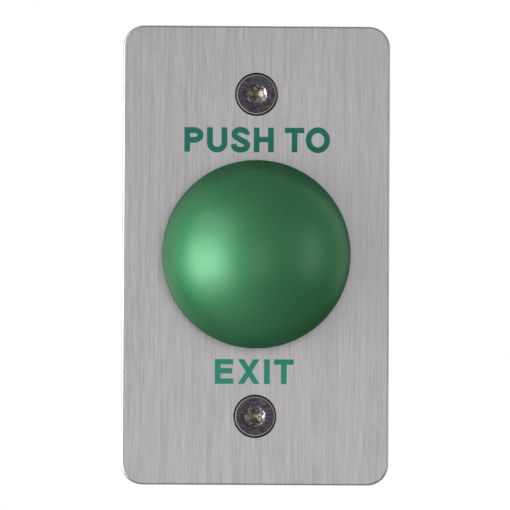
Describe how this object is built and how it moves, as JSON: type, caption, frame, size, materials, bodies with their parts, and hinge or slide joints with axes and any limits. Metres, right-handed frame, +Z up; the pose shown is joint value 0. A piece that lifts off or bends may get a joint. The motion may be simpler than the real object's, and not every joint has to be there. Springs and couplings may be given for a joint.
{
  "type": "door exit button",
  "caption": "Rectangular brushed steel wall plate with a round domed push button on a spring-return switch, held by countersunk screws above and below it.",
  "frame": {"origin": "half way between the two wall screws, on the plate's back face where it meets the wall", "axes": "+Y into the wall, along the button's axis; -Y is the front; +Z up; +X to the right as seen from the front"},
  "size_m": [0.05, 0.0549, 0.086],
  "materials": {
    "brushed_stainless": "vertical brushed stainless steel",
    "screw_steel": "dark passivated steel",
    "green_anodised": "satin green anodised aluminium",
    "turned_steel": "turned stainless steel",
    "nickel_brass": "nickel plated brass",
    "plated_steel": "zinc plated steel",
    "black_rubber": "moulded rubber",
    "spring_steel": "drawn spring wire",
    "black_nylon": "moulded glass-filled nylon",
    "grey_acetal": "moulded acetal",
    "ivory_acetal": "moulded acetal",
    "contact_brass": "stamped brass strip",
    "contact_silver": "silver alloy rivet"
  },
  "bodies": {
    "housing": {"face_plate": "brushed_stainless", "mounting_screws": "screw_steel", "flange_gasket": "black_rubber", "barrel": "turned_steel", "lock_washer": "plated_steel", "hex_nut": "nickel_brass", "return_spring": "spring_steel", "chamber_cover": "grey_acetal", "base_housing": "black_nylon", "nc_terminal_left": "contact_brass", "nc_terminal_right": "contact_brass", "no_terminal_left": "contact_brass", "no_terminal_right": "contact_brass", "fixed_contact_tips": "contact_silver", "terminal_screws": "plated_steel", "wire_clamps": "plated_steel"},
    "button": {"dome_cap": "green_anodised", "plunger": "turned_steel", "plunger_seal": "black_rubber", "contact_carrier": "ivory_acetal", "nc_contact_spring": "spring_steel", "no_contact_spring": "spring_steel"},
    "nc_contact": {"nc_bridge": "contact_brass", "nc_bridge_tips": "contact_silver"},
    "no_contact": {"no_bridge": "contact_brass", "no_bridge_tips": "contact_silver"}
  },
  "joints": [
    {"name": "button_press", "type": "slide", "parent": "housing", "child": "button", "axis": [0, 1, 0], "range_m": [0, 0.004], "stiffness_N_per_m": 600, "springref_m": -0.005, "deforming": ["return_spring"]},
    {"name": "nc_bridge_travel", "type": "slide", "parent": "button", "child": "nc_contact", "axis": [0, 1, 0], "range_m": [-0.00098, 0], "deforming": ["nc_contact_spring"]},
    {"name": "no_bridge_travel", "type": "slide", "parent": "button", "child": "no_contact", "axis": [0, 1, 0], "range_m": [-0.00202, 0], "deforming": ["no_contact_spring"]}
  ],
  "couplings": [
    {"joint": "nc_bridge_travel", "follows": "button_press", "ratio": -0.245},
    {"joint": "no_bridge_travel", "follows": "button_press", "ratio": -0.505}
  ]
}
